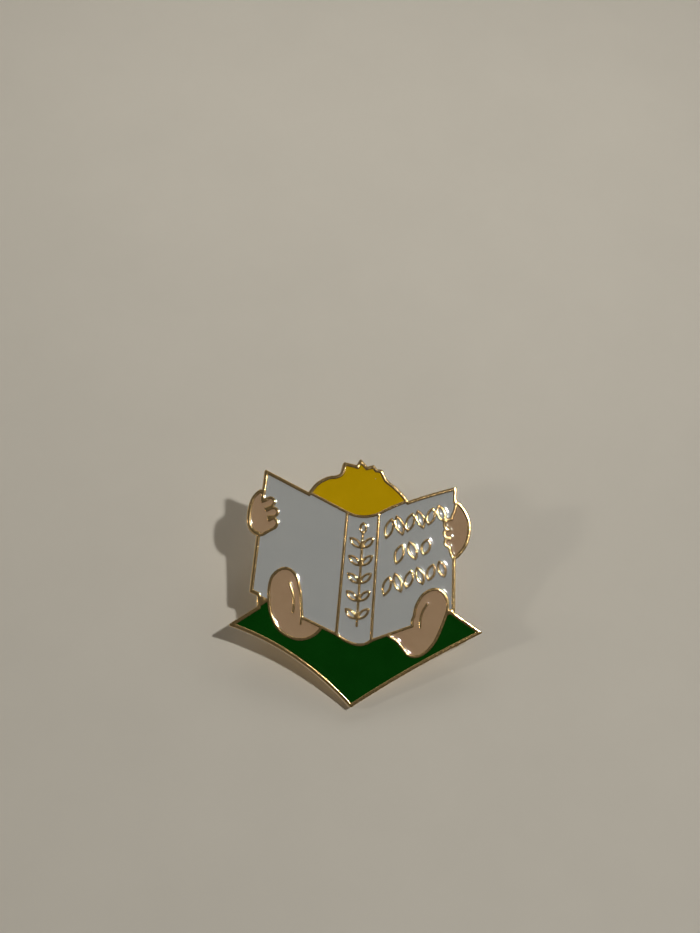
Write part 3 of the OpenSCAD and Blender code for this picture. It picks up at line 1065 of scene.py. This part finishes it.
@dataclass
class Post:
    """A headed post with barbed grip grooves, and its bead of solder."""

    side: Side
    shank_r: float = 0.55
    flange_r: float = 2.0
    flange_low: float = -0.15
    flange_top: float = 0.2
    foot_r: float = 0.95
    foot_top: float = 0.65
    groove_low: float = 1.8
    groove_step: float = 1.25
    groove_w: float = 0.3
    groove_deep: float = 0.11
    barb: float = 0.03
    point_len: float = 1.5
    tip_r: float = 0.08
    flare_steps: int = 8
    flange_ease: float = 0.06
    shank_ease: float = 0.045
    segments: int = 56
    bead_r: float = 0.21
    bead_path_r: float = 2.15

    def centre(self) -> Vector:
        """Find the post's axis.

        Returns:
            Where it meets the back of the plate, in millimetres.
        """
        low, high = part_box(f"post_{self.side.value}")
        return Vector(((low.x + high.x) / 2 / MM, 0.0, (low.z + high.z) / 2 / MM))

    def build_post(self) -> bpy.types.Object:
        """Turn the post from its flange to its point.

        Returns:
            The piece.
        """
        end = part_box(f"post_{self.side.value}")[1].y / MM
        rise = self.foot_top - self.flange_top
        flare = []
        for i in range(self.flare_steps + 1):
            a = math.pi / 2 * i / self.flare_steps
            flare.append((self.foot_r - (self.foot_r - self.shank_r) * math.sin(a),
                          self.flange_top + rise * (1 - math.cos(a))))
        low = [(0.0, self.flange_low), (self.flange_r, self.flange_low),
               (self.flange_r, self.flange_top - 0.02), (1.5, self.flange_top)]
        shank = []
        for i in range(3):
            h = self.groove_low + i * self.groove_step
            shank += [(self.shank_r - (self.barb if i else 0.0), h),
                      (self.shank_r - self.groove_deep, h + self.groove_w / 2),
                      (self.shank_r, h + self.groove_w)]
        point = [(self.shank_r - self.barb, end - self.point_len), (self.tip_r, end - 0.02),
                 (0.0, end)]
        profile = [*eased(low, self.flange_ease, closed=False), *flare,
                   *eased([flare[-1], *shank, *point], self.shank_ease, closed=False)[1:]]
        made = turned(profile, self.centre(), self.segments, closed=False).piece(
            f"{self.side.value}_post", [POST_BRASS], 60.0)
        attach(made, "root")
        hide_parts(f"post_{self.side.value}")
        return made

    def build_solder(self) -> bpy.types.Object:
        """Sweep the uneven solder bead around the flange.

        Returns:
            The piece.
        """
        name = f"{self.side.value}_solder_bead"
        tool = NodesTool("solder_bead", {
            "Path Radius": self.bead_path_r * MM, "Bead Radius": self.bead_r * MM,
            "Unevenness": 0.35, "Stations": 96, "Seed": 3.0 if self.side is Side.LEFT else 8.0,
            "Place": self.centre() * MM + Vector((0.0, 0.00002, 0.0)),
            "Finish": SOLDER.material()})
        given = tool.given
        path = tool.node("GeometryNodeCurvePrimitiveCircle", {
            "Resolution": given["Stations"], "Radius": given["Path Radius"]})
        at = tool.node("GeometryNodeInputPosition", {})
        lump = tool.node("ShaderNodeTexNoise", {
            "Vector": at.outputs[0], "Scale": 900.0, "Detail": 2.0, "W": given["Seed"]},
            noise_dimensions="4D")
        swing = tool.node("ShaderNodeMath", {0: lump.outputs["Fac"], 1: 0.5},
                          operation="SUBTRACT")
        grown = tool.node("ShaderNodeMath", {
            0: swing.outputs[0], 1: given["Unevenness"], 2: 1.0}, operation="MULTIPLY_ADD")
        sized = tool.node("ShaderNodeMath", {0: grown.outputs[0], 1: given["Bead Radius"]},
                          operation="MULTIPLY")
        thick = tool.node("GeometryNodeSetCurveRadius", {
            "Curve": path.outputs[0], "Radius": sized.outputs[0]})
        section = tool.node("GeometryNodeCurvePrimitiveCircle", {"Resolution": 14, "Radius": 1.0})
        bead = tool.node("GeometryNodeCurveToMesh", {
            "Curve": thick.outputs[0], "Profile Curve": section.outputs[0]})
        if "Scale" in bead.inputs:
            radius = tool.node("GeometryNodeInputRadius", {})
            tool.tree.links.new(radius.outputs[0], bead.inputs["Scale"])
        laid = tool.node("GeometryNodeTransform", {
            "Geometry": bead.outputs[0], "Translation": given["Place"],
            "Rotation": (math.pi / 2, 0.0, 0.0)})
        made = tool.run(laid.outputs[0], name, SOLDER)
        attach(made, "root")
        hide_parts(f"solder_{self.side.value}")
        return made


@dataclass
class Clutch:
    """A butterfly clutch: cup with a rolled lip, slotted cover and two spring wings."""

    side: Side
    radius: float = 5.0
    segments: int = 120
    cup_ease: float = 0.12
    cover_ease: float = 0.14
    slot_ease: float = 0.2
    slot_spare: float = 0.15
    strip_faces: int = 28
    strip_edge: float = 0.07
    sheet_t: float = 0.3
    bore_r: float = 0.62
    cup_h: float = 1.5
    cup_floor: float = 0.35
    cover_h: float = 2.3
    slot: tuple[float, float] = (2.45, 3.4)
    slot_low: float = 1.3
    wing_half: float = 2.6
    pivot: tuple[float, float] = (2.9, 2.15)
    wing_top: float = 4.4
    jaw_r: float = 0.6
    nubs: int = 8
    nub_r: float = 0.26
    nub_ring_r: float = 3.55

    def centre(self) -> Vector:
        """Find the middle of the clutch's cloth face.

        Returns:
            The point, in millimetres.
        """
        low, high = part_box(f"cup_{self.side.value}")
        return Vector(((low.x + high.x) / 2, low.y, (low.z + high.z) / 2)) / MM

    def build_cup(self) -> bpy.types.Object:
        """Turn the drawn cup.

        Returns:
            The piece.
        """
        r, h, b = self.radius, self.cup_h, self.bore_r
        outside = [(b, 0.2), (1.5, 0.0), (r - 0.3, 0.0), (r - 0.09, 0.09), (r, 0.3),
                   (r, h - 0.2), (r - 0.06, h - 0.06), (r - 0.2, h), (r - 0.65, h),
                   (r - 0.65, h - 0.25), (r - 0.35, h - 0.3), (r - 0.35, self.cup_floor),
                   (1.6, self.cup_floor), (1.0, 0.5), (b, 0.5)]
        made = turned(eased(outside, self.cup_ease), self.centre(), self.segments).piece(
            f"{self.side.value}_cup", [CLUTCH_BRASS], 60.0)
        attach(made, f"clutch_{self.side.value}")
        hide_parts(f"cup_{self.side.value}")
        return made

    def build_nubs(self) -> bpy.types.Object:
        """Set a ring of small pressed nubs on the face that grips the cloth.

        Returns:
            The piece.
        """
        tool = NodesTool("nub_ring", {
            "Count": self.nubs, "Ring Radius": self.nub_ring_r * MM, "Nub Radius": self.nub_r * MM,
            "Flatness": Vector((1.0, 1.0, 0.42)), "Place": self.centre() * MM,
            "Finish": CLUTCH_BRASS.material()})
        given = tool.given
        ring = tool.node("GeometryNodeMeshCircle", {
            "Vertices": given["Count"], "Radius": given["Ring Radius"]})
        nub = tool.node("GeometryNodeMeshUVSphere", {
            "Segments": 20, "Rings": 10, "Radius": given["Nub Radius"]})
        flat = tool.node("GeometryNodeTransform", {
            "Geometry": nub.outputs[0], "Scale": given["Flatness"]})
        placed = tool.node("GeometryNodeInstanceOnPoints", {
            "Points": ring.outputs[0], "Instance": flat.outputs[0]})
        laid = tool.node("GeometryNodeTransform", {
            "Geometry": placed.outputs[0], "Translation": given["Place"],
            "Rotation": (math.pi / 2, 0.0, 0.0)})
        made = tool.run(laid.outputs[0], f"{self.side.value}_cup_nubs", CLUTCH_BRASS)
        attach(made, f"clutch_{self.side.value}")
        return made

    def build_cover(self) -> bpy.types.Object:
        """Turn the domed cover and cut its two slots.

        Returns:
            The piece.
        """
        skirt, t, h, lip = self.radius - 0.4, self.sheet_t, self.cover_h, self.cup_h - 0.32
        profile = [(skirt, self.cup_floor + 0.03), (skirt, lip), (skirt - 0.65, lip),
                   (skirt - 1.0, h - 0.12), (skirt - 1.15, h), (0.9, h), (0.9, h - t),
                   (skirt - 1.28, h - t), (skirt - 0.92, lip - t), (skirt - t, lip - t),
                   (skirt - t, self.cup_floor + 0.03)]
        body = turned(eased(profile, self.cover_ease), self.centre(), self.segments).piece(
            "cover_blank", [CLUTCH_BRASS])
        cutters = []
        half = self.wing_half + self.slot_spare
        for way in (-1, 1):
            low, high = sorted((way * self.slot[0], way * self.slot[1]))
            box = bmesh.new()
            bmesh.ops.create_cube(box, size=1.0)
            size = Vector((high - low, 2.0, 2 * half)) * MM
            middle = self.centre() + Vector(((low + high) / 2, self.slot_low + 1.0, 0.0))
            bmesh.ops.transform(box, verts=box.verts,
                                matrix=Matrix.Translation(middle * MM) @ Matrix.Diagonal(
                                    size.to_4d()))
            upright = [e for e in box.edges
                       if abs(e.verts[0].co.y - e.verts[1].co.y) > 0.5 * MM]
            bmesh.ops.bevel(box, geom=upright, offset=self.slot_ease * MM, segments=4,
                            affect="EDGES", profile=0.5)
            mesh = bpy.data.meshes.new("slot_cutter")
            box.to_mesh(mesh)
            box.free()
            cutter = bpy.data.objects.new("slot_cutter", mesh)
            bpy.context.scene.collection.objects.link(cutter)
            cutters.append(cutter)
            cut = body.modifiers.new("slot", "BOOLEAN")
            cut.operation, cut.solver, cut.object = "DIFFERENCE", "EXACT", cutter
        made = baked(body, f"{self.side.value}_cover", [CLUTCH_BRASS], 40.0)
        for cutter in cutters:
            bpy.data.objects.remove(cutter)
        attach(made, f"cover_{self.side.value}")
        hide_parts(f"cover_{self.side.value}")
        return made

    def wing_line(self) -> list[Vector]:
        """Curve a wing's middle line from its jaw to its curled edge.

        Returns:
            The line's points, as distance from the post's axis and height.
        """
        knots = [Vector(p) for p in ((0.1, 1.3), (2.0, 1.42), (2.7, 1.65), self.pivot,
                                     (3.25, 3.1), (3.7, 4.0), (4.3, 4.6))]
        knots = [2 * knots[0] - knots[1], *knots, 2 * knots[-1] - knots[-2]]
        line = []
        for i in range(1, len(knots) - 2):
            a, b, c, d = knots[i - 1:i + 3]
            for k in range(8):
                t = k / 8
                line.append(0.5 * (2 * b + (c - a) * t + (2 * a - 5 * b + 4 * c - d) * t * t
                                   + (3 * b - a - 3 * c + d) * t ** 3))
        return [p for p in line if p.y < self.wing_top - 0.02]

    def half_width(self, x: float, height: float) -> float:
        """Measure the spring strip.

        Args:
            x: A point's distance from the post's axis.
            height: Its height over the cloth face.

        Returns:
            Half the strip's width there.
        """
        if x < self.slot[0] + 0.08:
            return float(np.interp(x, (0.0, 1.4, 2.3, 2.53), (1.5, 1.6, 1.95, 2.3)))
        if height < self.pivot[1] + 1.25:
            return float(np.interp(height - self.pivot[1], (-0.5, 0.6, 1.25), (2.6, 2.7, 3.04)))
        up = min(1.0, (height - self.pivot[1] - 1.25) / (self.wing_top - self.pivot[1] - 1.25))
        return 2.04 + math.sqrt(max(0.0, 1.0 - up * up))

    def build_wing(self, outer: bool) -> bpy.types.Object:
        """Bend one wing with its jaw out of spring strip.

        Args:
            outer: Whether it is the wing on the pin's outer side.

        Returns:
            The piece.
        """
        way = (-1 if self.side is Side.LEFT else 1) * (1 if outer else -1)
        label = "outer" if outer else "inner"
        line, centre = self.wing_line(), self.centre()
        across = self.strip_faces
        points, faces = [], []
        for p in line:
            half = self.half_width(p.x, p.y)
            for j in range(-across, across + 1):
                z = half * j / across
                x = p.x
                notch = math.sqrt(max(0.0, (self.jaw_r + 0.02) ** 2 - z * z))
                points.append((centre.x + way * max(x, notch), centre.y + p.y, centre.z + z))
        row = 2 * across + 1
        for i in range(len(line) - 1):
            for j in range(row - 1):
                corners = (i * row + j, i * row + j + 1, (i + 1) * row + j + 1, (i + 1) * row + j)
                spots = {tuple(round(c, 5) for c in points[k]) for k in corners}
                if len(spots) == 4 and not all(
                        math.hypot(points[k][0] - centre.x, points[k][2] - centre.z)
                        < self.jaw_r + 0.021 for k in corners):
                    faces.append(corners)
        shell = Shell()
        shell.points, shell.faces, shell.tints = points, faces, [0] * len(faces)
        strip = shell.piece("wing_strip", [SPRING_BRASS])
        cleaned = bmesh.new()
        cleaned.from_mesh(strip.data)
        loose = [v for v in cleaned.verts if not v.link_faces]
        bmesh.ops.delete(cleaned, geom=loose, context="VERTS")
        cleaned.to_mesh(strip.data)
        cleaned.free()
        thick = strip.modifiers.new("sheet", "SOLIDIFY")
        thick.thickness, thick.offset = (self.sheet_t - 0.02) * MM, 0.0
        thick.use_even_offset = True
        soft = strip.modifiers.new("edge", "BEVEL")
        soft.width, soft.segments = self.strip_edge * MM, 3
        soft.limit_method, soft.angle_limit = "ANGLE", math.radians(60)
        body = f"wing_{self.side.value}_{label}"
        made = baked(strip, f"{self.side.value}_{label}_wing", [SPRING_BRASS], 50.0)
        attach(made, body)
        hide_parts(body)
        return made


# ---------- stage, camera and light ----------


@dataclass(frozen=True)
class Lamp:
    """One round soft lamp.

    Attributes:
        name: Its name.
        towards: The way from the pin to the lamp.
        distance: How far away it hangs, in metres.
        size: Its diameter in metres.
        power: Its power in watts.
        colour: Its colour.
    """

    name: str
    towards: tuple[float, float, float]
    distance: float
    size: float
    power: float
    colour: Colour

    def hang(self) -> None:
        """Put the lamp in the scene, facing the pin and out of the camera's sight."""
        data = bpy.data.lights.new(self.name, "AREA")
        data.shape, data.size = "DISK", self.size
        data.energy, data.color = self.power, self.colour
        lamp = bpy.data.objects.new(self.name, data)
        way = Vector(self.towards).normalized()
        lamp.location = way * self.distance
        lamp.visible_camera = False
        lamp.rotation_mode = "QUATERNION"
        lamp.rotation_quaternion = (-way).to_track_quat("-Z", "Y")
        bpy.context.scene.collection.objects.link(lamp)


LAMPS = (
    Lamp("key", (0.34, -1.0, 0.20), 0.45, 0.022, 0.90, (1.0, 0.975, 0.93)),
    Lamp("low_left", (-1.62, -1.0, 0.05), 0.8, 0.07, 0.74, (1.0, 0.94, 0.83)),
    Lamp("near_right", (0.06, -0.04, 0.13), 0.1487, 0.06, 0.0207, (1.0, 0.96, 0.89)),
    Lamp("near_left", (-0.035, -0.035, 0.125), 0.1345, 0.07, 0.0180, (1.0, 0.96, 0.89)),
    Lamp("back_right", (0.9, 1.0, 0.5), 0.7, 0.5, 0.8, (1.0, 0.98, 0.95)),
    Lamp("back_left", (-1.0, 0.8, 0.3), 0.7, 0.5, 0.6, (1.0, 0.98, 0.95)),
)


@dataclass
class Studio:
    """A pale tabletop under the pin's back, a camera and soft light."""

    table_size: float = 0.9
    table_colour: Colour = (0.66, 0.625, 0.553)
    mottle_shade: float = 0.97
    mottle_mm: float = 14.0
    grain_mm: float = 1.1
    grain_depth: float = 0.00001
    table_roughness: float = 0.5
    table_specular: float = 0.12
    clear_degrees: float = 0.15
    camera_side: float = -7.0
    camera_down: float = -9.0
    distance: float = 0.19
    view_height: float = 0.1111
    aim: tuple[float, float] = (-0.0006, 0.00993)
    room_colour: Colour = (0.95, 0.93, 0.88)
    room_shown: Colour = (0.74, 0.73, 0.70)
    room_shown_strength: float = 0.8

    def lean(self) -> float:
        """Find how the pin leans on its clutches and its lowest tip.

        Returns:
            The angle between the plate and the table, in radians.
        """
        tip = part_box("base_plate")[0].z
        most = 0.0
        for name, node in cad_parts.items():
            if name.startswith(("wing", "post", "cup", "cover")):
                for v in node.data.vertices:
                    if v.co.y > 0:
                        most = max(most, math.atan2(v.co.y, v.co.z - tip))
        return most + math.radians(self.clear_degrees)

    def table_material(self) -> bpy.types.Material:
        """Mix a pale laminate with a faint mottle.

        Returns:
            The material, which can't be seen from below.
        """
        made = bpy.data.materials.new("table_top")
        made.use_nodes = True
        tree = made.node_tree
        shader = tree.nodes["Principled BSDF"]
        place = tree.nodes.new("ShaderNodeTexCoord")
        patina = add_node(tree, "ShaderNodeGroup", {}, node_tree=GROUPS["patina"])
        tree.links.new(place.outputs["Object"], patina.inputs["Position"])
        patina.inputs["Cloud Size mm"].default_value = self.mottle_mm
        patina.inputs["Ripple Size mm"].default_value = self.grain_mm
        mottle = add_node(tree, "ShaderNodeMix", {0: patina.outputs["Mask"]}, data_type="RGBA")
        mottle.inputs[6].default_value = (*self.table_colour, 1.0)
        mottle.inputs[7].default_value = (*(self.mottle_shade * c for c in self.table_colour),
                                          1.0)
        tree.links.new(mottle.outputs[2], shader.inputs["Base Color"])
        shader.inputs["Roughness"].default_value = self.table_roughness
        shader.inputs["Specular IOR Level"].default_value = self.table_specular
        bump = add_node(tree, "ShaderNodeBump", {
            "Height": patina.outputs["Height"], "Distance": self.grain_depth, "Strength": 1.0})
        tree.links.new(bump.outputs["Normal"], shader.inputs["Normal"])
        side = tree.nodes.new("ShaderNodeNewGeometry")
        clear = tree.nodes.new("ShaderNodeBsdfTransparent")
        either = add_node(tree, "ShaderNodeMixShader", {
            0: side.outputs["Backfacing"], 1: shader.outputs[0], 2: clear.outputs[0]})
        tree.links.new(either.outputs[0], tree.nodes["Material Output"].inputs["Surface"])
        return made

    def build_table(self) -> bpy.types.Object:
        """Lay the tabletop against the clutches and the lowest tip.

        Returns:
            The stage piece.
        """
        tip = Vector((0.0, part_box("base_plate")[1].y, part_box("base_plate")[0].z))
        up = Vector((0.0, math.sin(self.lean()), math.cos(self.lean())))
        wide = Vector((1.0, 0.0, 0.0))
        half = self.table_size / 2
        corners = [tip + wide * a * half + up * b * half
                   for a, b in ((-1, -1), (1, -1), (1, 1), (-1, 1))]
        mesh = bpy.data.meshes.new("table")
        mesh.from_pydata([tuple(c) for c in corners], [], [(0, 1, 2, 3)])
        mesh.materials.append(self.table_material())
        table = bpy.data.objects.new("table", mesh)
        bpy.context.scene.collection.objects.link(table)
        table.visible_shadow = False
        table.visible_glossy = False
        table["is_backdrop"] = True
        return table

    def direction(self) -> Vector:
        """Find the way the camera looks at the pin.

        Returns:
            The direction, of length one.
        """
        side, down = math.radians(self.camera_side), math.radians(self.camera_down)
        return Vector((-math.sin(side) * math.cos(down), math.cos(side) * math.cos(down),
                       -math.sin(down))).normalized()

    def build_camera(self) -> bpy.types.Object:
        """Set up the camera, a little left of and below the plate's normal.

        Returns:
            The camera.
        """
        data = bpy.data.cameras.new("camera")
        data.sensor_fit = "VERTICAL"
        data.sensor_height = 32.0
        data.sensor_width = 32.0
        data.lens = data.sensor_height * self.distance / self.view_height
        look = self.direction()
        turn = look.to_track_quat("-Z", "Y")
        right, up = turn @ Vector((1.0, 0.0, 0.0)), turn @ Vector((0.0, 1.0, 0.0))
        target = right * self.aim[0] + up * self.aim[1]
        camera = bpy.data.objects.new("camera", data)
        camera.rotation_mode = "QUATERNION"
        camera.rotation_quaternion = turn
        camera.location = target - look * self.distance
        data.clip_start, data.clip_end = 0.01, 10.0
        bpy.context.scene.collection.objects.link(camera)
        bpy.context.scene.camera = camera
        return camera

    def build_light(self) -> None:
        """Hang the lamps and set the light of the room: dim in front, brighter behind."""
        for lamp in LAMPS:
            lamp.hang()
        world = bpy.data.worlds.new("room")
        bpy.context.scene.world = world
        world.use_nodes = True
        tree = world.node_tree
        light = tree.nodes["Background"]
        light.inputs["Color"].default_value = (*self.room_colour, 1.0)
        way = tree.nodes.new("ShaderNodeTexCoord")
        parts = add_node(tree, "ShaderNodeSeparateXYZ", {0: way.outputs["Generated"]})
        side = ramp_between(tree, parts.outputs["Y"], -0.05, 0.5, 0.03, 0.7)
        behind = ramp_between(tree, parts.outputs["Y"], 0.8, 0.95, 1.0, 0.45)
        wide = math_node(tree, "ABSOLUTE", parts.outputs["X"])
        flanks = ramp_between(tree, wide, 0.85, 0.97, 0.0, 0.42)
        glow = math_node(tree, "MAXIMUM", math_node(tree, "MULTIPLY", side, behind), flanks)
        tree.links.new(glow, light.inputs["Strength"])
        seen = add_node(tree, "ShaderNodeBackground", {
            "Color": (*self.room_shown, 1.0), "Strength": self.room_shown_strength})
        path = tree.nodes.new("ShaderNodeLightPath")
        either = add_node(tree, "ShaderNodeMixShader", {
            0: path.outputs["Is Camera Ray"], 1: light.outputs[0], 2: seen.outputs[0]})
        tree.links.new(either.outputs[0], tree.nodes["World Output"].inputs["Surface"])

    def build(self) -> None:
        """Build the whole stage."""
        self.build_table()
        self.build_camera()
        self.build_light()
        bpy.context.scene.view_settings.view_transform = "Standard"
        bpy.context.scene.view_settings.look = "None"


# ---------- the pin ----------

FILLS = {
    "enamel_hair": Pigment.YELLOW, "enamel_cover_left": Pigment.WHITE,
    "enamel_spine": Pigment.WHITE, "enamel_cover_right": Pigment.WHITE,
    "enamel_hand_left": Pigment.SKIN, "enamel_hand_right": Pigment.SKIN,
    "enamel_foot_left": Pigment.SKIN, "enamel_foot_right": Pigment.SKIN,
    "enamel_mat": Pigment.GREEN,
}
CLIMBS = {Pigment.GREEN: 0.018, Pigment.WHITE: 0.045}


def makers() -> Iterable[Callable[[], bpy.types.Object]]:
    """List the build methods.

    Yields:
        The method that builds each piece, in order.
    """
    yield StruckPlate().build
    for node, pigment in FILLS.items():
        yield EnamelFill(node, pigment, climb=CLIMBS.get(pigment, EnamelFill.climb)).build
    for side in Side:
        post, clutch = Post(side), Clutch(side)
        yield from (post.build_post, post.build_solder, clutch.build_cup, clutch.build_nubs,
                    clutch.build_cover)
        yield lambda clutch=clutch: clutch.build_wing(outer=True)
        yield lambda clutch=clutch: clutch.build_wing(outer=False)


def main() -> None:
    """Build the stage and every piece, and report each one."""
    logging.basicConfig(level=logging.INFO, format="%(message)s")
    Studio().build()
    for make in makers():
        piece = make()
        LOG.info("%s: %d faces", piece.name, len(piece.data.polygons))
    boxes = {"cad": CAD_BOX, "visual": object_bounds()}
    {name: [list(corner) for corner in box] for name, box in boxes.items()}


if __name__ == "__main__":
    main()
